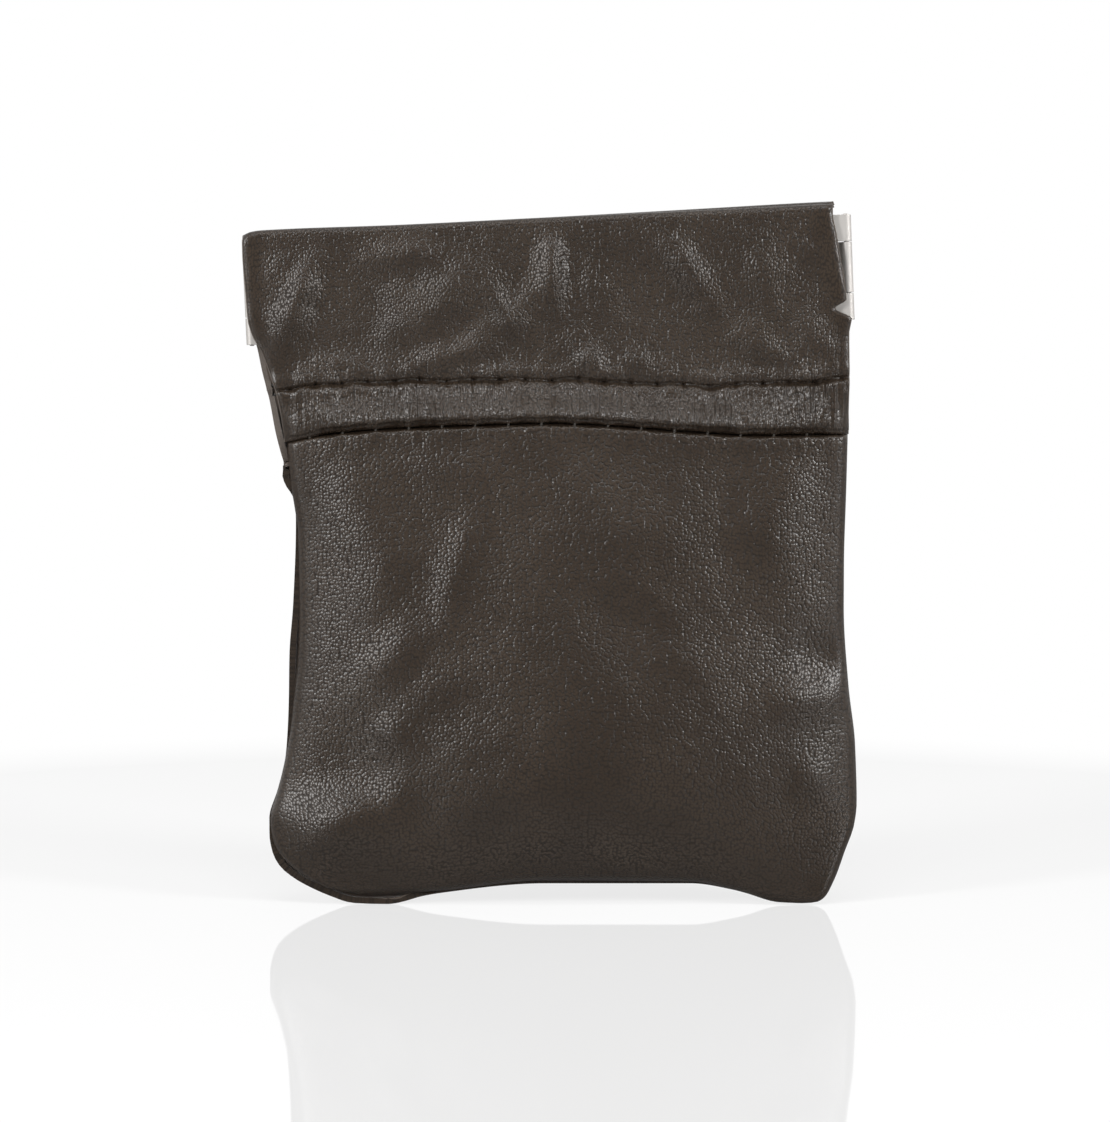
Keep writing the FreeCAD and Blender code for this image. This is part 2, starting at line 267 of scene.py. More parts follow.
# Studio, in metres
TABLE_SIZE = 8.0
TABLE_NEAR = 0.12
TABLE_FAR = 0.22
TABLE_MIRROR = 0.45
TABLE_WHITE = 0.6
TABLE_IN_REFLECTIONS = 0.35
MIRROR_ROUGHNESS = 0.04
AMBIENT = 0.2
FRONT_ROOM = 0.03
FRONT_ROOM_Y = -0.7
WHITE_ROOM_Y = 0.2
LIGHT_TARGET = Vector((0, 0, 0.05))
LIGHTS = {
    "left_softbox": {"place": (-0.58, -0.5, 0.32), "size": (0.17, 0.24), "power": 4.4},
    "right_softbox": {"place": (0.64, -0.44, 0.3), "size": (0.17, 0.24), "power": 4.0},
    "top_softbox": {"place": (0, -0.42, 0.72), "size": (0.5, 0.2), "power": 2.2},
}
LENS = 85
SENSOR_HEIGHT = 24
CAMERA_ELEVATION = 4

# Outlines in pixels of the photograph, from the foot of each edge upwards
FRONT_LEFT = [
    (375, 893), (350, 891), (325, 886), (305, 876), (288, 864), (276, 850), (270, 835), (268, 815),
    (276, 785), (284, 750), (289, 720), (292, 690), (296, 650), (298, 600), (297, 520), (294, 496),
    (290, 470), (287, 440),
]
RIGHT = [
    (795, 902), (820, 899.5), (834, 880), (845, 850), (855, 820), (857, 800), (855, 740), (848, 680),
    (843, 600), (843, 560), (845, 480), (846, 434),
]
FRONT_FOOT = [
    (200, 893), (375, 893), (430, 890), (545, 879), (690, 880), (740, 890), (780, 901), (810, 902),
    (900, 902),
]
BACK_LEFT = [
    (385, 903), (352, 902), (331, 896), (312, 888), (292, 877), (277, 864), (270, 850), (267, 832),
    (267, 815), (276, 785), (284, 750), (287, 700), (288, 650), (292, 600), (295, 520), (294.5, 502),
    (291, 492), (284, 479), (281.6, 469), (283, 463), (286, 458), (286, 440),
]
BACK_FOOT = [
    (200, 903), (385, 903), (430, 893), (545, 882), (690, 882), (740, 890), (780, 901), (810, 902),
    (900, 902),
]
BAND_SEAM = [
    (230, 446), (287, 438), (330, 430), (400, 424), (480, 421), (545, 419), (600, 421), (680, 427),
    (760, 431), (847, 430), (900, 428),
]
BACK_BAND_SEAM = [
    (230, 474), (284, 461), (330, 447), (400, 433), (480, 424), (545, 420), (600, 421), (680, 427),
    (760, 431), (847, 430), (900, 428),
]
TUNNEL_ROW = [
    (230, 390), (278, 385), (340, 379), (430, 376), (560, 375), (640, 379), (700, 381), (760, 379),
    (847, 374), (900, 371),
]
LIP_TOP = [
    (235, 237), (245, 232), (252, 229), (262, 227.5), (400, 222), (550, 214.5), (700, 207.5), (832, 201),
    (880, 199),
]
CASING_LEFT = [
    (287, 450), (284, 436), (278, 395), (274, 381), (266, 358), (261, 346), (254, 334), (249, 318),
    (246.5, 290), (243.5, 246), (243.5, 225),
]
CASING_RIGHT = [
    (846, 440), (847, 430), (847, 376), (846.5, 329), (848.9, 315), (832.5, 304.5), (843.6, 296),
    (841, 273), (837, 251), (833, 229), (829.5, 210), (831, 195),
]
BACK_CASING_LEFT = [
    (285, 468), (283.5, 459), (280, 447), (275, 428), (269, 398), (262, 370), (257, 346), (253, 330),
    (251, 314), (249, 284), (247, 244), (246, 225),
]

# Soft folds: width and height in mm, then the line of the fold in pixels
FRONT_PANEL_FOLDS = [
    (5.0, 0.5, (350, 452), (358, 510), (376, 552), (368, 635)),
    (2.2, 0.25, (470, 515), (452, 570), (444, 614)),
    (3.0, 0.32, (436, 618), (405, 636), (362, 682)),
    (2.6, 0.3, (396, 712), (386, 738)),
    (4.2, 1.2, (284, 848), (330, 821), (378, 803)),
    (6.0, -0.5, (310, 765), (350, 758), (400, 775)),
    (5.0, 0.5, (800, 445), (784, 485), (768, 520), (788, 575)),
    (5.0, -0.25, (730, 470), (722, 520), (742, 580)),
    (6.0, 0.3, (630, 565), (655, 520), (735, 508)),
    (3.0, 0.55, (765, 698), (812, 690), (850, 686)),
    (3.4, -0.35, (790, 660), (850, 646)),
    (3.2, 0.4, (792, 760), (830, 780)),
    (4.0, -0.3, (592, 580), (618, 620), (648, 660)),
    (3.0, 0.25, (526, 812), (528, 872)),
    (3.4, 0.25, (405, 470), (440, 462), (500, 470)),
    (4.0, 0.2, (560, 470), (600, 500), (615, 560)),
    (2.4, 0.2, (640, 640), (700, 662), (745, 650)),
    (3.4, -0.25, (430, 720), (470, 700), (520, 712)),
    (3.0, 0.2, (455, 800), (510, 780), (580, 790)),
]
FRONT_CASING_FOLDS = [
    (2.2, 0.65, (279, 340), (297, 302), (316, 256)),
    (4.0, -0.5, (345, 262), (352, 310), (350, 358)),
    (2.4, 0.4, (372, 248), (440, 244)),
    (3.8, 0.6, (478, 264), (450, 294), (400, 324)),
    (1.6, 0.4, (484, 270), (498, 298), (510, 316), (534, 288)),
    (1.9, 0.7, (549, 226), (552, 260), (554, 300)),
    (2.2, -0.35, (570, 232), (566, 292)),
    (2.1, 0.55, (656, 230), (684, 266), (712, 308)),
    (4.5, -0.45, (632, 266), (664, 304), (692, 326)),
    (2.0, 0.5, (404, 368), (450, 352), (504, 328)),
    (2.2, 0.45, (578, 346), (596, 366)),
    (2.4, 0.35, (795, 306), (810, 336), (832, 362)),
    (2.0, 0.35, (740, 330), (775, 350), (800, 366)),
    (1.8, 0.3, (310, 366), (345, 360), (372, 366)),
    (2.0, 0.3, (620, 350), (655, 366)),
    (2.6, 0.3, (745, 228), (760, 270), (770, 310)),
]
BACK_PANEL_FOLDS = [
    (4.0, 0.8, (360, 470), (400, 560), (380, 650)),
    (5.0, -0.7, (470, 520), (455, 620), (480, 700)),
    (4.0, 0.8, (720, 480), (690, 570), (720, 650)),
    (4.5, 0.9, (300, 830), (350, 800), (420, 790)),
    (4.5, 0.8, (840, 820), (790, 800), (730, 800)),
    (3.5, 0.6, (850, 640), (800, 655), (760, 650)),
]
BACK_CASING_FOLDS = [
    (2.6, 0.5, (300, 340), (330, 290), (350, 250)),
    (4.0, -0.45, (430, 260), (445, 340)),
    (2.6, 0.55, (560, 235), (548, 300)),
    (2.6, 0.5, (700, 240), (730, 320)),
]


def at_pixel(px, py):
    """Place in the purse's own plane, in mm, of a pixel of the photograph."""
    return (px - PIXEL_X0) / PIXELS_PER_MM, (PIXEL_FLOOR - py) / PIXELS_PER_MM


def curve(pairs):
    """Smooth function through (at, value) pairs that doesn't overshoot them."""
    at, value = np.array(sorted(pairs), float).T
    step = np.diff(at)
    slope = np.diff(value) / step
    tangent = np.concatenate([slope[:1], np.zeros(len(at) - 2), slope[-1:]])
    product = np.maximum(slope[:-1] * slope[1:], 0)
    total = np.where(product > 0, slope[:-1] + slope[1:], 1)
    tangent[1:-1] = 2 * product / total

    def value_at(x):
        x = np.clip(x, at[0], at[-1])
        i = np.clip(np.searchsorted(at, x) - 1, 0, len(step) - 1)
        t = (x - at[i]) / step[i]
        rise = value[i] * (1 + 2 * t) * (1 - t) ** 2 + value[i + 1] * t**2 * (3 - 2 * t)
        return rise + step[i] * (tangent[i] * t * (1 - t) ** 2 - tangent[i + 1] * t**2 * (1 - t))

    return value_at


def height_line(pixels):
    """z, in mm, along a line that runs from left to right."""
    return curve([at_pixel(*p) for p in pixels])


def edge_line(pixels):
    """x, in mm, along an edge that runs upwards."""
    return curve([at_pixel(*p)[::-1] for p in pixels])


def round_edge_line(pixels):
    """x, in mm, of an edge that starts level at its foot, by the square root of the height above that."""
    foot = pixels[0][1]
    return curve([(math.sqrt((foot - py) / PIXELS_PER_MM), at_pixel(px, py)[0]) for px, py in pixels])


def smooth_step(t):
    t = np.clip(t, 0, 1)
    return t * t * (3 - 2 * t)


def bell(away, width):
    """Smooth bump, 1 at its middle."""
    return np.exp(-((away / width) ** 2))


def fold_height(x, z, folds):
    """Summed height of soft folds at points x, z."""
    total = np.zeros(np.shape(x))
    for width, height, *pixels in folds:
        points = np.array([at_pixel(*p) for p in pixels])
        lengths = np.linalg.norm(np.diff(points, axis=0), axis=1)
        run = np.concatenate([[0], np.cumsum(lengths)])
        nearest = np.full(np.shape(x), np.inf)
        along = np.zeros(np.shape(x))
        for i, length in enumerate(lengths):
            step = (points[i + 1] - points[i]) / length
            t = np.clip((x - points[i, 0]) * step[0] + (z - points[i, 1]) * step[1], 0, length)
            away = np.hypot(x - points[i, 0] - t * step[0], z - points[i, 1] - t * step[1])
            closer = away < nearest
            nearest = np.where(closer, away, nearest)
            along = np.where(closer, (run[i] + t) / run[-1], along)
        fade = FOLD_END_SHARE + (1 - FOLD_END_SHARE) * np.sin(np.pi * np.clip(along, 0, 1))
        total += FOLD_STRENGTH * height * fade * bell(nearest, width)
    return total


def noise_field(x, z, size, seed, octaves=((1, 1),)):
    """Smooth noise at points x, z, summed over octaves of (scale, share)."""
    values = []
    for a, b in zip(np.ravel(x), np.ravel(z)):
        here = Vector((a / size, b / size, seed))
        values.append(sum(share * noise.noise(here * scale) for scale, share in octaves))
    return np.array(values).reshape(np.shape(x))


def creases(x, z, seed):
    """Small uneven rise and fall of soft leather."""
    return CREASE_AMOUNT * noise_field(x, z, CREASE_SIZE, seed, CREASE_OCTAVES)


crown_depth = curve(CROWN)
even_row_z = height_line(TUNNEL_ROW)
lip_top_z = height_line(LIP_TOP)
casing_right_x = edge_line(CASING_RIGHT)


def tunnel_row_z(x):
    """Height of the sewn row, which each stitch draws a little up or down."""
    stitch = (x - FIRST_STITCH) / TUNNEL_PITCH
    drift = sum(np.sin(rate * stitch + phase) for rate, phase in ROW_DRIFT_WAVES)
    return even_row_z(x) + ROW_SAG * np.cos(2 * np.pi * stitch) + ROW_DRIFT * drift


def columns():
    """Places from left to right, 0 to 1, closer together near both edges."""
    even = np.linspace(0, 1, COLUMNS)
    places = (1 - EDGE_COLUMN_SHARE) * even + EDGE_COLUMN_SHARE * (1 - np.cos(np.pi * even)) / 2
    return np.sort(np.concatenate([places, EDGE_COLUMNS, [1 - place for place in EDGE_COLUMNS]]))


def edge_depth(inside):
    """Depth of a face by the distance from its edge: a small round, then a soft swell."""
    roll = np.clip(1 - inside / EDGE_RADIUS, 0, 1)
    swell = EDGE_SWELL * (1 - np.exp(-inside / EDGE_SWELL_REACH))
    return EDGE_GAP + EDGE_RADIUS * np.sqrt(1 - roll**2) + swell


def bow(x, start, end):
    """Arch from 0 at both ends to 1 in the middle."""
    return 1 - ((x - (start + end) / 2) / ((end - start) / 2)) ** 2


def panel_sheet(side):
    """Outer face of a panel: rows from its foot to its rolled top edge, columns from left to right."""
    foot_z = height_line(side["foot"])
    left_x = round_edge_line(side["left"])
    right_x = round_edge_line(RIGHT)
    seam_z = side["band_seam_z"]
    left_drop = PANEL_HEIGHT - seam_z(PANEL_LEFT_X)
    low = FINE_ROWS_TOP * np.linspace(0, 1, LOW_ROWS) ** 2
    high = np.linspace(FINE_ROWS_TOP, PANEL_HEIGHT - SEAM_ROLL, HIGH_ROWS)[1:]
    across = columns()
    rows = []
    for height in np.concatenate([low, high]):
        lift = smooth_step(height / PANEL_HEIGHT)
        start = left_x(math.sqrt(max(height - lift * left_drop, 0)))
        end = right_x(math.sqrt(height))
        x = start + (end - start) * across
        top = seam_z(x) - seam_gap(x) - PANEL_HEIGHT
        z = height + (1 - lift) * foot_z(x) + lift * top
        edge = np.minimum(x - start, end - x)
        inside = 1 / np.sqrt(1 / (edge + ON_EDGE) ** 2 + 1 / (height + ON_EDGE) ** 2)
        foot_fade = 1 - np.exp(-height / FOOT_FADE)
        crown = (crown_depth(z) - RIM_DEPTH) * bow(x, start, end) * foot_fade
        folds = fold_height(x, z, side["panel_folds"]) + creases(x, z, side["seed"])
        depth = edge_depth(inside) + crown + (1 - np.exp(-inside / FOLD_FADE)) * folds
        rows.append(np.stack([x, depth, z], axis=1))
    turned = rolled_edge(rows[-1], 1, seam_z)
    thickness = [LEATHER] * len(rows) + [SKIVED] * len(turned)
    return np.array(rows + turned), np.array(thickness), np.full(len(thickness), EDGE_GAP)


def rolled_edge(row, upwards, seam_z):
    """Rows that turn a face's last row inwards over a small round."""
    turned = []
    for angle in np.radians(ROLL_ANGLES):
        next_row = row.copy()
        next_row[:, 1] -= SEAM_ROLL * (1 - math.cos(angle))
        next_row[:, 2] += upwards * SEAM_ROLL * math.sin(angle)
        turned.append(next_row)
    level = turned[-1]
    for run in SEAM_ALLOWANCE:
        next_row = level.copy()
        next_row[:, 1] -= run
        next_row[:, 2] = seam_z(next_row[:, 0]) - upwards * SEAM_TOUCH
        turned.append(next_row)
    for next_row in turned:
        next_row[:, 1] = np.maximum(next_row[:, 1], EDGE_GAP)
    return turned


def seam_depth(x, start, end, seam_z):
    """Depth of the leather's face along the seam between band and panel."""
    edge = np.minimum(x - start, end - x)
    return edge_depth(edge) + (crown_depth(seam_z(x)) - RIM_DEPTH) * bow(x, start, end)


def seam_gap(x):
    """Half of the gap between band and panel: it closes at each bridging stitch."""
    wave = np.abs(np.sin(np.pi * (x - BAND_START) / BAND_PITCH)) ** SEAM_GAP_POWER
    ends = smooth_step((x - BAND_START) / SEAM_GAP_FADE) * smooth_step((BAND_END - x) / SEAM_GAP_FADE)
    return SEAM_TOUCH + (SEAM_HALF_GAP - SEAM_TOUCH) * wave * ends


def stitch_middles():
    """x of the middle of each stitch of the tunnel row."""
    return np.arange(FIRST_STITCH, LAST_STITCH, TUNNEL_PITCH)


def groove(x, away):
    """Sunken sewn row, dimpled at the thread's holes, with the leather swollen and gathered beside it."""
    run = x - FIRST_STITCH
    aside = np.hypot(run % TUNNEL_PITCH - TUNNEL_PITCH / 2, away)
    sunken = GROOVE_DEPTH * bell(away, GROOVE_WIDTH) + HOLE_DEPTH * bell(aside, HOLE_RADIUS)
    for height, place, width in SWELLINGS:
        sunken = sunken - height * bell(away - place, width)
    return sunken - PUCKER * np.cos(2 * np.pi * run / TUNNEL_PITCH) * bell(away, PUCKER_REACH)


def casing_ends(side, z_of):
    """x of both ends of a casing along a line of heights."""
    ends = np.array(CASING_END_GUESS)
    for _ in range(CASING_END_ROUNDS):
        heights = z_of(ends)
        ends = np.array([side["casing_left"](heights[0]), casing_right_x(heights[1])])
    return ends


def casing_columns(side):
    """Columns of a casing, with close ones around each stitch hole."""
    start, end = casing_ends(side, tunnel_row_z)
    holes = stitch_middles() - TUNNEL_PITCH / 2
    around = holes[:, None] + HOLE_RADIUS * np.array(HOLE_COLUMNS)
    close = (around.ravel() - start) / (end - start)
    close = close[(close > HOLE_COLUMN_MARGIN) & (close < 1 - HOLE_COLUMN_MARGIN)]
    plain = [place for place in columns() if np.abs(close - place).min() > COLUMN_SPACING]
    return np.sort(np.concatenate([plain, close]))


def between(low_z, high_z, share, x):
    """Height at a share of the way from one line to another."""
    return low_z(x) + share * (high_z(x) - low_z(x))


def band_foot_z(side, x):
    """Height at which the band begins, above the roll at its seam."""
    return side["band_seam_z"](x) + seam_gap(x) + SEAM_ROLL


def band_depth(side, share, x, z, start, end):
    """Depth of the puffed and gathered band, from the seam at share 0 to the sewn row at 1."""
    low = seam_depth(x, start, end, side["band_seam_z"])
    level = low + (LIP_OUTER_DEPTH - low) * smooth_step(share)
    end_fade = 1 - np.exp(-np.minimum(x - start, end - x) / PUFF_END_FADE)
    puff = BAND_PUFF * math.sin(math.pi * share**PUFF_SHARE) * end_fade
    wave = np.sin(x * STRIPE_RATE + STRIPE_DRIFT * np.sin(x * STRIPE_DRIFT_RATE))
    stripes = BAND_STRIPES * wave * math.sin(math.pi * share)
    raised = level + puff + stripes - groove(x, z - tunnel_row_z(x))
    return raised + creases(x, z, side["seed"] + BAND_SEED_STEP)


def lip_z(side, x):
    """Height at which a casing begins to fold over the strip."""
    return lip_top_z(x) + side["top_rise"] * smooth_step((x - RISE_START) / RISE_RUN) - LIP_RADIUS


def face_depth(side, share, x, z, start, end):
    """Depth of a casing's face: folds stand out, as the steel strip lies behind the valleys."""
    away = z - tunnel_row_z(x)
    relief = fold_height(x, z, side["casing_folds"]) * smooth_step(away / FOLD_FADE)
    relief = relief + CASING_CREASES * creases(x, z, side["seed"] + CASING_SEED_STEP)
    relief = VALLEY_SOFTNESS * np.logaddexp(0, (relief + VALLEY) / VALLEY_SOFTNESS) - VALLEY
    settle = 1 - smooth_step((share - SETTLE_FROM_SHARE) / (1 - SETTLE_FROM_SHARE))
    return LIP_OUTER_DEPTH + (relief - groove(x, away)) * (SETTLED_SHARE + (1 - SETTLED_SHARE) * settle)


def fold_z(side, angle, x):
    """Height of a line over the lip's fold."""
    return lip_z(side, x) + LIP_RADIUS * math.sin(angle)


def fold_depth(last, angle, x, z, start, end):
    """Depth over the lip's fold: the relief of the face's last row dies out towards the inside."""
    kept = (1 + math.cos(angle)) / 2
    return LIP_MIDDLE + LIP_RADIUS * math.cos(angle) + kept * (last - LIP_OUTER_DEPTH)


def hem_z(x):
    return np.full(np.shape(x), HEM_Z)


def hem_depth(x, z, start, end):
    return np.full(x.shape, LIP_INNER_DEPTH)


def casing_sheet(side):
    """Outer face of a casing, from its rolled lower edge over the band, face and lip to the inner hem."""
    across = casing_columns(side)
    foot, lip = partial(band_foot_z, side), partial(lip_z, side)
    rows, thickness, floors = [], [], []

    def put(z_of, depth_of, thick, inset=0, floor=EDGE_GAP):
        start, end = casing_ends(side, z_of)
        start, end = start + inset, end - inset
        x = start + (end - start) * across
        z = z_of(x)
        near_end = np.clip(1 - np.minimum(x - start, end - x) / CASING_EDGE_REACH, 0, 1)
        round_off = CASING_EDGE_DROP * (1 - np.sqrt(1 - near_end**2))
        rows.append(np.stack([x, depth_of(x, z, start, end) - round_off, z], axis=1))
        thickness.append(thick)
        floors.append(floor)

    for share in BAND_SHARES:
        put(partial(between, foot, tunnel_row_z, share), partial(band_depth, side, share), LEATHER)
    lower = rolled_edge(rows[0], -1, side["band_seam_z"])[::-1]
    face_shares = [np.linspace(low, high, count)[1 if low else 0 :] for low, high, count in FACE_SPANS]
    for share in np.concatenate(face_shares):
        rise = smooth_step((share - TUNNEL_START_SHARE) / TUNNEL_RISE_SHARE)
        floor = EDGE_GAP + (TUNNEL_DEPTH - EDGE_GAP) * rise
        depth_of = partial(face_depth, side, share)
        put(partial(between, tunnel_row_z, lip, share), depth_of, LEATHER, floor=floor)
    last = rows[-1][:, 1].copy()
    for degrees in LIP_ANGLES:
        angle = np.radians(degrees)
        inset = INNER_LAYER_INSET * smooth_step((degrees - INSET_FROM_ANGLE) / (180 - INSET_FROM_ANGLE))
        thick = LEATHER + (SKIVED - LEATHER) * (1 - math.cos(angle)) / 2
        put(partial(fold_z, side, angle), partial(fold_depth, last, angle), thick, inset)
    for share in np.linspace(0, 1, HEM_ROWS)[1:]:
        put(partial(between, lip, hem_z, share), hem_depth, SKIVED, INNER_LAYER_INSET)
    thickness = [SKIVED] * len(lower) + thickness
    floors = [EDGE_GAP] * len(lower) + floors
    return np.array(lower + rows), np.array(thickness), np.array(floors)


def gathering(x, z, seam_z):
    """How far leather is drawn into upright lines: most in the band, a little beside it."""
    row, seam = tunnel_row_z(x), seam_z(x)
    band = smooth_step((z - seam) / GATHER_LOW_FADE) * smooth_step((row - z) / GATHER_HIGH_FADE)
    above = GATHER_ABOVE * bell(z - row, GATHER_ABOVE_REACH) * (z >= row)
    below = GATHER_BELOW * bell(seam - z, GATHER_BELOW_REACH) * (z < seam)
    patches = noise_field(x, z, GATHER_PATCH_SIZE, GATHER_PATCH_SEED)
    return (band + above + below) * np.clip(GATHER_BASE + GATHER_RANGE * patches, 0, 1)


def sheet_slopes(points):
    """Direction of a sheet along its rows, weighted for uneven steps."""
    steps = np.diff(points, axis=1)
    lengths = np.linalg.norm(steps, axis=2, keepdims=True) + TINY_STEP
    slopes = steps / lengths
    before, after = lengths[:, :-1], lengths[:, 1:]
    inner = (slopes[:, :-1] * after + slopes[:, 1:] * before) / (before + after)
    return np.concatenate([slopes[:, :1], inner, slopes[:, -1:]], axis=1)


def sheet_normals(points):
    """Unit normals of a sheet, towards the front where it runs right and up."""
    along = sheet_slopes(points)
    up = sheet_slopes(points.transpose(1, 0, 2)).transpose(1, 0, 2)
    normal = np.cross(along, up)
    return normal / (np.linalg.norm(normal, axis=2, keepdims=True) + TINY_NORMAL)


def grain_coordinates(points):
    """Even coordinates over a sheet, in mm, not pulled apart by dimples and notches."""
    along = np.linalg.norm(np.diff(points, axis=1), axis=2)
    run = np.concatenate([np.zeros((len(points), 1)), np.cumsum(along, axis=1)], axis=1)
    middle = points.shape[1] // 2
    x = points[:, :, 0]
    extra = np.median((run - run[:, middle : middle + 1]) - (x - x[:, middle : middle + 1]), axis=0)
    upwards = np.linalg.norm(np.diff(points, axis=0), axis=2)
    v = np.concatenate([[0], np.cumsum(np.median(upwards, axis=1))])
    return np.stack([x + extra, np.broadcast_to(v[:, None], x.shape)], axis=2)


def leather_halves(name, layers, side, materials, grain=(1, 1), cut_ends=False):
    """Left and right piece of a leather sheet, each a closed shell."""
    facing = side["facing"]
    sheet, thickness, floors = layers
    outer = sheet.copy()
    outer[:, :, 1] *= facing
    normals = -facing * sheet_normals(outer)
    inner = outer - normals * thickness[:, None, None]
    inner[:, :, 1] = facing * np.maximum(inner[:, :, 1] * facing, floors[:, None])
    x, z = sheet[:, :, 0], sheet[:, :, 2]
    edge = np.minimum(x - x[:, :1], x[:, -1:] - x)
    raw = np.zeros(x.shape, bool)
    raw[:, [0, -2, -1]] = cut_ends
    whole = {
        "outer": outer,
        "inner": inner,
        "outer_normals": normals,
        "inner_normals": facing * sheet_normals(inner),
        "uv": np.array(grain) * grain_coordinates(outer) / UV_MM,
        "raw": raw,
        "Gathered": gathering(x, z, side["band_seam_z"]),
        "Grained": STRETCHED_GRAIN + (1 - STRETCHED_GRAIN) * smooth_step(edge / STRETCHED_REACH),
    }
    cut = int(np.abs(x.mean(axis=0) - CUT_X).argmin())
    spans = {"left": slice(0, cut + 1), "right": slice(cut, None)}
    pieces = {}
    for half, span in spans.items():
        part = {key: values[:, span] for key, values in whole.items()}
        pieces[half] = shell(f"{name}_{half}", part, facing, materials)
    return pieces


def both_sides(outer, inner):
    """Values of the grain side's points, then of the flesh side's."""
    return np.concatenate([outer.reshape(-1, outer.shape[2]), inner.reshape(-1, inner.shape[2])])


def shell(name, part, facing, materials):
    """Closed mesh between two sheets; its materials are for grain side, flesh side and cut rim."""
    rows, cols = part["raw"].shape
    count = rows * cols
    index = np.arange(count).reshape(rows, cols)
    quads = np.stack([index[:-1, :-1], index[:-1, 1:], index[1:, 1:], index[1:, :-1]], axis=2)
    quads = quads.reshape(-1, 4)
    border = np.concatenate([index[0, :], index[1:, -1], index[-1, -2::-1], index[-2:0:-1, 0]])
    after = np.roll(border, -1)
    rim = np.stack([after, border, border + count, after + count], axis=1)
    if facing > 0:
        quads, rim = quads[:, ::-1], rim[:, ::-1]
    faces = np.concatenate([quads, quads[:, ::-1] + count, rim])
    corners = faces.ravel()
    points = both_sides(part["outer"], part["inner"])
    mesh = bpy.data.meshes.new(name)
    mesh.from_pydata((points * MM).tolist(), [], faces.tolist(), shade_flat=False)
    grain_side, flesh_side, cut_rim = range(len(materials))
    for material in materials:
        mesh.materials.append(material)
    look = np.repeat([grain_side, flesh_side, cut_rim], [len(quads), len(quads), len(rim)])
    look[: len(quads)][part["raw"][:-1, :-1].ravel()] = cut_rim
    mesh.polygons.foreach_set("material_index", look)
    layer = mesh.uv_layers.new(name="Grain")
    layer.data.foreach_set("uv", both_sides(part["uv"], part["uv"])[corners].ravel())
    for key in ("Gathered", "Grained"):
        layer = mesh.attributes.new(key, "FLOAT", "POINT")
        layer.data.foreach_set("value", np.tile(part[key].ravel(), 2))
    normals = both_sides(part["outer_normals"], part["inner_normals"])[corners]
    rim_points = points[rim]
    rim_normals = np.cross(rim_points[:, 2] - rim_points[:, 0], rim_points[:, 3] - rim_points[:, 1])
    rim_normals /= np.linalg.norm(rim_normals, axis=1, keepdims=True) + TINY_NORMAL
    normals[-rim.size :] = np.repeat(rim_normals, rim.shape[1], axis=0)
    mesh.normals_split_custom_set(normals.tolist())
    return new_object(name, mesh)


def new_object(name, data):
    piece = bpy.data.objects.new(name, data)
    bpy.context.scene.collection.objects.link(piece)
    return piece


def mesh_piece(name, points, faces, material, flat=False):
    """Piece from points in metres and closed faces, which are turned outwards."""
    mesh = bpy.data.meshes.new(name)
    mesh.from_pydata([tuple(point) for point in points], [], faces, shade_flat=flat)
    mesh.materials.append(material)
    work = bmesh.new()
    work.from_mesh(mesh)
    bmesh.ops.recalc_face_normals(work, faces=work.faces)
    work.to_mesh(mesh)
    work.free()
    return new_object(name, mesh)


def ring_faces(rings, sides):
    """Faces of a closed solid made of equal rings of points."""
    faces = []
    for i in range(rings - 1):
        for j in range(sides):
            k = (j + 1) % sides
            faces.append([i * sides + j, i * sides + k, (i + 1) * sides + k, (i + 1) * sides + j])
    faces.append(list(range(sides))[::-1])
    faces.append([(rings - 1) * sides + j for j in range(sides)])
    return faces


def joined(solids):
    """Points and faces of several solids as one."""
    points, faces = [], []
    for some, sides in solids:
        faces.extend([[i + len(points) for i in face] for face in sides])
        points.extend(some)
    return points, faces


def unit(vectors):
    return vectors / np.linalg.norm(vectors, axis=1, keepdims=True)


def tube(path):
    """Points and faces of a closed round thread along a path, thinner at its ends."""
    tangent = unit(np.gradient(path, axis=0))
    side = unit(np.cross(tangent, [0.0, 1.0, 0.0]))
    other = np.cross(side, tangent)
    turn = np.linspace(0, 2 * np.pi, THREAD_SIDES, endpoint=False)[:, None]
    along = np.linspace(-TAPER_SHARE, TAPER_SHARE, len(path))
    radius = THREAD_RADIUS * np.sqrt(np.clip(1 - along**TAPER_POWER, TAPER_LEAST, 1))
    ring = np.cos(turn) * side[:, None] + np.sin(turn) * other[:, None]
    points = path[:, None] + ring * radius[:, None, None]
    return points.reshape(-1, 3), ring_faces(len(path), THREAD_SIDES)


def threads(name, paths, material):
    """One piece made of many stitches."""
    points, faces = joined([tube(path) for path in paths])
    return mesh_piece(name, MM * np.array(points), faces, material)


def tunnel_stitches(side):
    """Paths of the tunnel row's stitches, each dipping into the leather at both ends."""
    paths = []
    t = np.linspace(-1, 1, STITCH_POINTS)
    for middle in stitch_middles():
        x = middle + t * TUNNEL_STITCH / 2
        z = tunnel_row_z(x) + STITCH_WANDER * np.sin(STITCH_WANDER_RATE * t + middle)
        depth = LIP_OUTER_DEPTH - GROOVE_DEPTH + STITCH_LIFT - STITCH_DIP * np.abs(t) ** STITCH_DIP_POWER
        paths.append(np.stack([x, side["facing"] * depth, z], axis=1))
    return paths


def band_stitches(side):
    """Paths of the stitches that bridge the seam between band and panel."""
    paths = []
    seam_z = side["band_seam_z"]
    t = np.linspace(-1, 1, BAND_STITCH_POINTS)
    for middle in np.arange(BAND_START, BAND_END, BAND_PITCH):
        x = middle + BAND_STITCH_SLANT * t
        z = seam_z(x) + BAND_STITCH_HALF * t
        depth = seam_depth(x, *BAND_STITCH_ENDS, seam_z) - BAND_STITCH_DEPTH - BAND_STITCH_DIP * t**FLAT_POWER
        paths.append(np.stack([x, side["facing"] * depth, z], axis=1))
    return paths


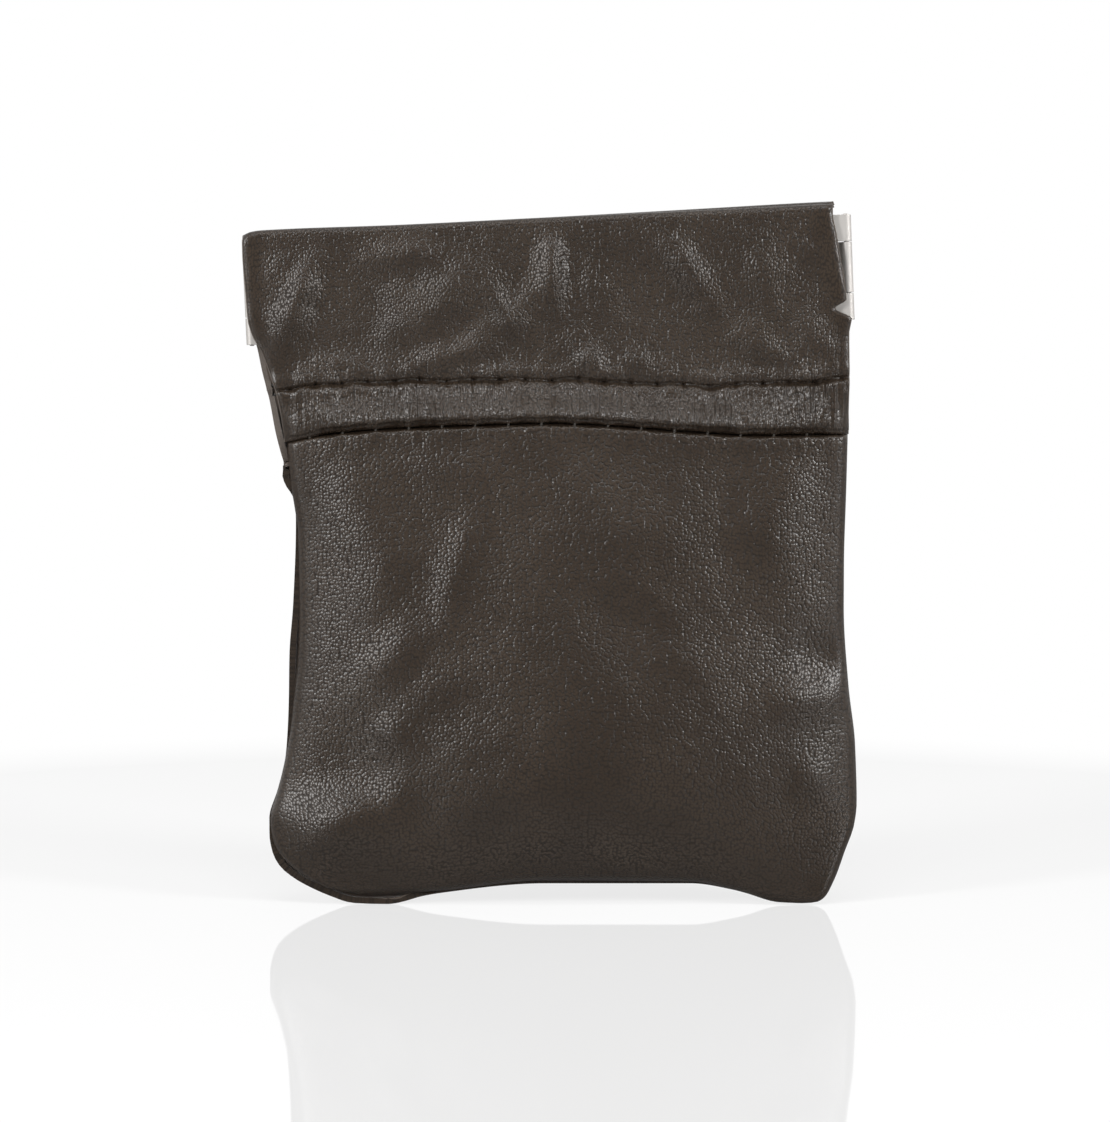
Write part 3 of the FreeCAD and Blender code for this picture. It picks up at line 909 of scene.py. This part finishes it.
def split_paths(paths):
    """Stitches of the left and of the right half."""
    halves = {"left": [], "right": []}
    for path in paths:
        halves["left" if path[:, 0].mean() <= CUT_X else "right"].append(path)
    return halves


def bend_with_lips(piece):
    """Bakes the piece's placement into its points; the piece does not bend."""
    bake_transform(piece)


def stand_for(node):
    """Hides a CAD node, so that the piece built for it shows alone."""
    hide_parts(node)


joints = {joint["name"]: joint for joint in frame["joints"]}
pins = {side: Vector(joints[f"front_{side}_pivot"]["pos_m"]) for side in OUTWARDS}
frame_x = (pins["right"] - pins["left"]).normalized()
frame_y = Vector((0, 1, 0))
frame_z = frame_x.cross(frame_y)


class NodeTree:
    """Short calls that add linked nodes to the tree of a material or world."""

    def __init__(self, owner):
        owner.use_nodes = True
        self.owner = owner
        self.tree = owner.node_tree

    def feed(self, socket, value):
        if isinstance(value, bpy.types.NodeSocket):
            self.tree.links.new(value, socket)
        else:
            socket.default_value = value

    def set(self, node, **inputs):
        for key, value in inputs.items():
            self.feed(node.inputs[key.replace("_", " ")], value)

    def node(self, kind, *values, output=0, settings=None, **inputs):
        """Adds a node with inputs in order or by name, and gives one of its outputs."""
        made = self.tree.nodes.new("ShaderNode" + kind)
        for key, value in (settings or {}).items():
            setattr(made, key, value)
        for socket, value in zip(made.inputs, values):
            self.feed(socket, value)
        self.set(made, **inputs)
        return made.outputs[output] if made.outputs else None

    def math(self, operation, *values):
        return self.node("Math", *values, settings={"operation": operation})

    def vector(self, operation, *values, output="Vector"):
        return self.node("VectorMath", *values, output=output, settings={"operation": operation})

    def ramp(self, value, low, high, bottom=0.0):
        settings = {"interpolation_type": "SMOOTHSTEP"}
        return self.node("MapRange", value, low, high, bottom, 1.0, settings=settings)

    def mix(self, share, colours):
        """Colour between two; the node's sockets for colours come after those for numbers and vectors."""
        mixed = self.node("Mix", share, output=2, settings={"data_type": "RGBA"})
        for socket, colour in zip(mixed.node.inputs[6:8], colours):
            self.feed(socket, colour)
        return mixed

    def coordinates(self, kind="Object"):
        return self.node("TexCoord", output=kind)

    def uv(self):
        return self.node("UVMap", settings={"uv_map": "Grain"})

    def attribute(self, name):
        return self.node("Attribute", output="Fac", settings={"attribute_name": name})

    def noise(self, place, scale, detail, dimensions="2D", output="Fac"):
        inputs = {"Vector": place, "Scale": scale, "Detail": detail}
        return self.node("TexNoise", output=output, settings={"noise_dimensions": dimensions}, **inputs)

    def cells(self, place, scale, randomness):
        settings = {"voronoi_dimensions": "2D", "feature": "F1"}
        inputs = {"Vector": place, "Scale": scale, "Randomness": randomness}
        return self.node("TexVoronoi", output="Distance", settings=settings, **inputs)

    def bump(self, height, strength, distance):
        return self.node("Bump", Strength=strength, Distance=distance, Height=height)

    def surface(self, colours, share, bump, **inputs):
        """Colour mixed from two, relief and other inputs of the surface; gives the material."""
        colour = self.mix(share, colours)
        self.set(self.tree.nodes["Principled BSDF"], Base_Color=colour, Normal=bump, **inputs)
        return self.owner


def leather_material():
    """Dark brown grained leather: soft pebbles of about 0.5 mm, finer ones between, painted shade in the
    valleys between pebbles, and a satin finish.
    """
    nodes = NodeTree(bpy.data.materials.new("purse_leather"))
    mm = nodes.vector("MULTIPLY", nodes.uv(), (UV_MM, UV_MM, UV_MM))
    warp = nodes.noise(mm, scale=0.6, detail=1.0, output="Color")
    warped = nodes.vector("MULTIPLY_ADD", warp, GRAIN_WARP, mm)
    pebbles = nodes.cells(warped, scale=2.2, randomness=0.85)
    fine = nodes.cells(warped, scale=5.0, randomness=1.0)
    tone = nodes.noise(mm, scale=0.09, detail=3.0)
    pores = nodes.noise(mm, scale=6.0, detail=2.0)
    lines = nodes.noise(nodes.vector("MULTIPLY", mm, LINE_STRETCH), scale=0.85, detail=1.0)
    gathers = nodes.math("MULTIPLY", lines, nodes.attribute("Gathered"))
    dome = nodes.math("MULTIPLY", pebbles, pebbles)
    rise = nodes.math("MULTIPLY", dome, -1.0)
    parts = [(nodes.math("MULTIPLY", fine, fine), FINE_RISE), (pores, PORE_RISE), (gathers, GATHER_RISE)]
    for part, height in parts:
        rise = nodes.math("MULTIPLY_ADD", part, height, rise)
    brown = nodes.mix(nodes.ramp(tone, *TONE_LIMITS), GRAIN_COLOURS)
    # Painted shade: the valleys between pebbles are darkened in the base colour
    valley_shade = nodes.ramp(dome, *VALLEY_SHADE_LIMITS)
    rough = nodes.math("MULTIPLY_ADD", tone, *LEATHER_ROUGHNESS)
    bump = nodes.bump(rise, nodes.attribute("Grained"), GRAIN_DISTANCE)
    coat = {"Coat_Normal": bump, "Coat_Weight": 0.46, "Coat_Roughness": 0.27}
    colours = [brown, VALLEY_SHADE_COLOUR]
    return nodes.surface(colours, valley_shade, bump, Roughness=rough, Specular_IOR_Level=0.26, **coat)


def raw_edge_material():
    """Cut edge of the leather: fibrous and paler than the grain side."""
    nodes = NodeTree(bpy.data.materials.new("leather_raw_edge"))
    fibres = nodes.noise(nodes.coordinates(), scale=4000.0, detail=4.0, dimensions="3D")
    bump = nodes.bump(fibres, strength=0.5, distance=0.00006)
    return nodes.surface(RAW_EDGE_COLOURS, fibres, bump, Roughness=0.75)


def flesh_material():
    """Inside of the leather: rough, short-napped and a little paler."""
    nodes = NodeTree(bpy.data.materials.new("leather_flesh_side"))
    nap = nodes.noise(nodes.uv(), scale=420.0, detail=5.0)
    patches = nodes.noise(nodes.uv(), scale=25.0, detail=2.0)
    bump = nodes.bump(nap, strength=0.5, distance=0.0001)
    return nodes.surface(FLESH_COLOURS, patches, bump, Roughness=0.9, Sheen_Weight=0.3)


def thread_material():
    """Dark twisted sewing thread."""
    nodes = NodeTree(bpy.data.materials.new("sewing_thread"))
    waves = {"Vector": nodes.coordinates(), "Scale": 1500.0, "Distortion": 1.0}
    twist = nodes.node("TexWave", output="Fac", settings={"bands_direction": "DIAGONAL"}, **waves)
    bump = nodes.bump(twist, strength=0.6, distance=0.00006)
    return nodes.surface(THREAD_COLOURS, twist, bump, Roughness=0.7)


def nickel_material():
    """Satin nickel plate on spring steel, with fine brushing along the strip."""
    nodes = NodeTree(bpy.data.materials.new("nickel_plate"))
    stretched = nodes.node("Mapping", Vector=nodes.coordinates(), Scale=BRUSH_STRETCH)
    brush = nodes.noise(stretched, scale=1.0, detail=3.0, dimensions="3D")
    cloud = nodes.noise(nodes.coordinates(), scale=350.0, detail=2.0, dimensions="3D")
    bump = nodes.bump(brush, strength=0.12, distance=0.00003)
    rough = nodes.math("MULTIPLY_ADD", brush, *NICKEL_ROUGHNESS)
    return nodes.surface(NICKEL_COLOURS, cloud, bump, Roughness=rough, Metallic=1.0)


def arc(radius, turn):
    return [(radius * math.cos(angle), radius * math.sin(angle)) for angle in turn]


def knuckle_outline():
    """Section of a strip's rolled end, in mm: the pin is at the origin and the strip's middle towards -x."""
    turn = np.radians(np.linspace(ROLL_START, ROLL_END, ROLL_STEPS))
    roll = arc(KNUCKLE_RADIUS, turn) + arc(BORE_RADIUS, turn[::-1])
    return [(-TONGUE, -KNUCKLE_RADIUS), *roll, (-TONGUE, STRIP_THICKNESS - KNUCKLE_RADIUS)]


def prism(outline, low, high):
    """Points and faces of an outline drawn up from low to high."""
    points = [(x, y, z) for z in (low, high) for x, y in outline]
    return points, ring_faces(2, len(outline))


def knuckle_piece(name, side, facing, spans, material):
    """End of a strip: its rolled barrels and the short tongue that goes into the casing."""
    solids = [prism(knuckle_outline(), low, high) for low, high in spans]
    notch = -KNUCKLE_RADIUS - WINDOW_DEPTH
    face, back = -KNUCKLE_RADIUS, STRIP_THICKNESS - KNUCKLE_RADIUS
    plate = [(-TONGUE, face), (notch, face), (notch, back), (-TONGUE, back)]
    half = STRIP_HEIGHT / 2
    edges = [-half] + [z for span in spans for z in span] + [half]
    for low, high in zip(edges[::2], edges[1::2]):
        if high - low > KNUCKLE_GAP:
            solids.append(prism(plate, low, high))
    points, faces = joined(solids)
    out = OUTWARDS[side] * frame_x
    places = [pins[side] + MM * (x * out - facing * y * frame_y + z * frame_z) for x, y, z in points]
    piece = mesh_piece(name, places, faces, material)
    bevel = piece.modifiers.new("soft_edges", "BEVEL")
    bevel.width = BEVEL_WIDTH * MM
    bevel.segments = 2
    bevel.limit_method = "ANGLE"
    bevel.angle_limit = math.radians(BEVEL_ANGLE)
    piece.data.set_sharp_from_angle(angle=math.radians(SHARP_ANGLE))
    return piece


def strip_blade(name, side, facing, material):
    """Half of a spring strip in its casing, from where the pressed-in tongue reaches to the middle."""
    out = OUTWARDS[side] * frame_x
    reach = abs((CUT_X * MM - pins[side].x) / frame_x.x) / MM
    runs = np.linspace(TONGUE + END_TRAVEL, reach, BLADE_STEPS)
    face, back = KNUCKLE_RADIUS, KNUCKLE_RADIUS - STRIP_THICKNESS
    top = STRIP_HEIGHT / 2
    section = [(face, -top), (face, top), (back, top), (back, -top)]
    points = []
    for run in runs.tolist():
        for depth, height in section:
            points.append(pins[side] + MM * (facing * depth * frame_y + height * frame_z - run * out))
    return mesh_piece(name, points, ring_faces(len(runs), len(section)), material, flat=True)


def turned_path():
    """Smoothed path down the left side, along the foot and up the right, with its inward direction."""
    left_x = round_edge_line(FRONT_LEFT)
    right_x = round_edge_line(RIGHT)
    foot_z = height_line(FRONT_FOOT)
    roots = np.linspace(TURNED_TOP_ROOT, 0.0, TURNED_SIDE_STEPS)
    foot_x = np.linspace(left_x(0), right_x(0), TURNED_FOOT_STEPS)[1:-1]
    left = np.stack([left_x(roots), roots**2 + TURNED_LEFT_FOOT], axis=1)
    foot = np.stack([foot_x, foot_z(foot_x)], axis=1)
    right = np.stack([right_x(roots), roots**2 + TURNED_RIGHT_FOOT], axis=1)[::-1]
    path = np.concatenate([left, foot, right])
    for _ in range(TURNED_SMOOTHING):
        path[1:-1] = (path[:-2] + 2 * path[1:-1] + path[2:]) / 4
    tangent = unit(np.gradient(path, axis=0))
    return path, np.stack([-tangent[:, 1], tangent[:, 0]], axis=1)


def turned_seam(path, inward, material):
    """Seam allowances inside the pouch's edge: a flat rounded strip along sides and foot."""
    points = []
    for place, across in zip(path, inward):
        for share, side in TURNED_SECTION:
            x, z = place + across * (TURNED_INSET + TURNED_WIDTH * share)
            points.append((x * MM, side * TURNED_HALF * MM, z * MM))
    piece = mesh_piece("turned_seam", points, ring_faces(len(path), len(TURNED_SECTION)), material)
    layer = piece.data.uv_layers.new(name="Grain")
    for loop in piece.data.loops:
        spot = piece.data.vertices[loop.vertex_index].co / (UV_MM * MM)
        layer.data[loop.index].uv = (spot.x, spot.z)
    return piece


def turned_stitches(path, inward):
    """Paths of the stitches on both faces of the turned seam."""
    middle = path + inward * (TURNED_INSET + TURNED_WIDTH / 2)
    lengths = np.concatenate([[0], np.cumsum(np.linalg.norm(np.diff(middle, axis=0), axis=1))])
    t = np.linspace(-1, 1, TURNED_ROW_POINTS)
    depth = TURNED_HALF * TURNED_SWELL + TURNED_ROW_LIFT - TURNED_ROW_DIP * t**FLAT_POWER
    paths = []
    for place in np.arange(TURNED_ROW_MARGIN, lengths[-1] - TURNED_ROW_MARGIN, TURNED_ROW_PITCH):
        run = place + TURNED_ROW_HALF * t
        x = np.interp(run, lengths, middle[:, 0])
        z = np.interp(run, lengths, middle[:, 1])
        paths.extend([np.stack([x, facing * depth, z], axis=1) for facing in (-1, 1)])
    return paths


def build_leather(materials, thread):
    """Panels, casings and their sewn rows, front and back."""
    sides = {
        "front": {
            "facing": -1, "seed": 3.1, "top_rise": 0.0, "band_seam_z": height_line(BAND_SEAM),
            "left": FRONT_LEFT, "foot": FRONT_FOOT,
            "casing_left": edge_line(CASING_LEFT),
            "panel_folds": FRONT_PANEL_FOLDS, "casing_folds": FRONT_CASING_FOLDS,
        },
        "back": {
            "facing": 1, "seed": 41.7, "top_rise": 0.35, "band_seam_z": height_line(BACK_BAND_SEAM),
            "left": BACK_LEFT, "foot": BACK_FOOT,
            "casing_left": edge_line(BACK_CASING_LEFT),
            "panel_folds": BACK_PANEL_FOLDS, "casing_folds": BACK_CASING_FOLDS,
        },
    }
    for name, side in sides.items():
        lip = casing_sheet(side)
        leather = {
            "panel": leather_halves(name + "_pouch", panel_sheet(side), side, materials["turned"]),
            "casing": leather_halves(name + "_lip", lip, side, materials["cut"], CASING_GRAIN, cut_ends=True),
        }
        for node, halves in leather.items():
            for half, piece in halves.items():
                bend_with_lips(piece)
                stand_for(f"{name}_{node}")
        rows = {"tunnel": tunnel_stitches(side), "band": band_stitches(side)}
        for row, paths in rows.items():
            for half, some in split_paths(paths).items():
                piece = threads(f"{name}_{row}_stitches_{half}", some, thread)
                bend_with_lips(piece)
                stand_for(f"{name}_{row}_thread")


def build_frame(nickel):
    """Spring strips: rolled ends on the hinge's arms and straight blades that lie inside the casings."""
    half = STRIP_HEIGHT / 2
    outer_spans = [(-half, END_KNUCKLE - half), (half - END_KNUCKLE, half)]
    middle_span = [(END_KNUCKLE + KNUCKLE_GAP - half, half - END_KNUCKLE - KNUCKLE_GAP)]
    for name, facing, spans in (("front", -1, outer_spans), ("back", 1, middle_span)):
        for side in OUTWARDS:
            knuckle = knuckle_piece(f"{name}_{side}_knuckle", side, facing, spans, nickel)
            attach(knuckle, f"{name}_{side}_arm")
            stand_for(f"{name}_strip_{side}_arm")
            blade = strip_blade(f"{name}_{side}_blade", side, facing, nickel)
            bend_with_lips(blade)
            stand_for(f"{name}_strip_middle")
    for side in OUTWARDS:
        pin = frame["nodes"][f"{side}_hinge_pin"]
        pin.data.materials.clear()
        pin.data.materials.append(nickel)


def build_seam(flesh, thread):
    """Turned seam along the pouch's edge and its stitches."""
    path, inward = turned_path()
    seam = turned_seam(path, inward, flesh)
    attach(seam, "pouch_edge")
    stand_for("pouch_seam")
    row = threads("seam_stitches", turned_stitches(path, inward), thread)
    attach(row, "pouch_edge")
    stand_for("seam_thread")


def build_floor():
    """Pale table with a weak mirror, which fades into white away from the purse."""
    nodes = NodeTree(bpy.data.materials.new("pale_table"))
    nodes.tree.nodes.clear()
    matt = nodes.node("BsdfDiffuse", Color=TABLE_COLOUR)
    mirror = nodes.node("BsdfGlossy", Color=WHITE, Roughness=MIRROR_ROUGHNESS)
    dark = nodes.node("BsdfDiffuse", Color=DARK_COLOUR)
    white = nodes.node("Emission", Strength=1.0)
    away = nodes.vector("LENGTH", nodes.coordinates(), output="Value")
    ray = nodes.node("LightPath").node.outputs
    seen = nodes.math("MAXIMUM", ray["Is Camera Ray"], ray["Is Transmission Ray"])
    far = nodes.math("MULTIPLY", nodes.ramp(away, TABLE_NEAR, TABLE_FAR), seen)
    near = nodes.math("MULTIPLY", ray["Is Camera Ray"], TABLE_WHITE)
    dim = nodes.math("MULTIPLY", ray["Is Glossy Ray"], 1 - TABLE_IN_REFLECTIONS)
    table = nodes.node("MixShader", TABLE_MIRROR, matt, mirror)
    lit = nodes.node("MixShader", dim, table, dark)
    whole = nodes.node("MixShader", nodes.math("MAXIMUM", far, near), lit, white)
    nodes.node("OutputMaterial", Surface=whole)
    mesh = bpy.data.meshes.new("table")
    size = TABLE_SIZE / 2
    corners = [(-size, -size, 0), (size, -size, 0), (size, size, 0), (-size, size, 0)]
    mesh.from_pydata(corners, [], [[0, 1, 2, 3]])
    mesh.materials.append(nodes.owner)
    new_object("table", mesh)


def build_world():
    """White surround for the camera; in reflections it is white behind and beside the purse, dim in front."""
    nodes = NodeTree(bpy.data.worlds.new("studio"))
    bpy.context.scene.world = nodes.owner
    y = nodes.node("SeparateXYZ", nodes.coordinates("Generated"), output="Y")
    reflected = nodes.ramp(y, FRONT_ROOM_Y, WHITE_ROOM_Y, bottom=FRONT_ROOM)
    ray = nodes.node("LightPath").node.outputs
    glossy = nodes.node("Mix", Factor=ray["Is Glossy Ray"], A=AMBIENT, B=reflected)
    strength = nodes.node("Mix", Factor=ray["Is Camera Ray"], A=glossy, B=1.0)
    nodes.set(nodes.tree.nodes["Background"], Color=WHITE, Strength=strength)


def aim(piece, place, target):
    """Puts a light or the camera at a place, looking at a target."""
    piece.location = place
    piece.rotation_euler = (target - piece.location).to_track_quat("-Z", "Y").to_euler()


def build_lights():
    """Softboxes left, right and above, all in front of the purse."""
    for name, light in LIGHTS.items():
        data = bpy.data.lights.new(name, "AREA")
        data.shape = "RECTANGLE"
        data.size, data.size_y = light["size"]
        data.energy = light["power"]
        aim(new_object(name, data), light["place"], LIGHT_TARGET)


def build_camera():
    """Long lens, almost level with the purse, framed as the photograph."""
    data = bpy.data.cameras.new("camera")
    data.sensor_fit = "VERTICAL"
    data.sensor_height = SENSOR_HEIGHT
    data.lens = LENS
    distance = PHOTO_HEIGHT / PIXELS_PER_MM * MM * LENS / SENSOR_HEIGHT
    middle_x, middle_z = at_pixel(PHOTO_WIDTH / 2 - AIM_LEFT, PHOTO_HEIGHT / 2 - AIM_UP)
    target = Vector((middle_x * MM, 0, middle_z * MM))
    elevation = math.radians(CAMERA_ELEVATION)
    camera = new_object("camera", data)
    aim(camera, target + distance * Vector((0, -math.cos(elevation), math.sin(elevation))), target)
    bpy.context.scene.camera = camera


grain_side, flesh_side, thread = leather_material(), flesh_material(), thread_material()
leather = {
    "turned": [grain_side, flesh_side, grain_side],
    "cut": [grain_side, flesh_side, raw_edge_material()],
}
build_leather(leather, thread)
build_frame(nickel_material())
build_seam(flesh_side, thread)
build_floor()
build_world()
build_lights()
build_camera()
bpy.context.scene.view_settings.view_transform = "Standard"
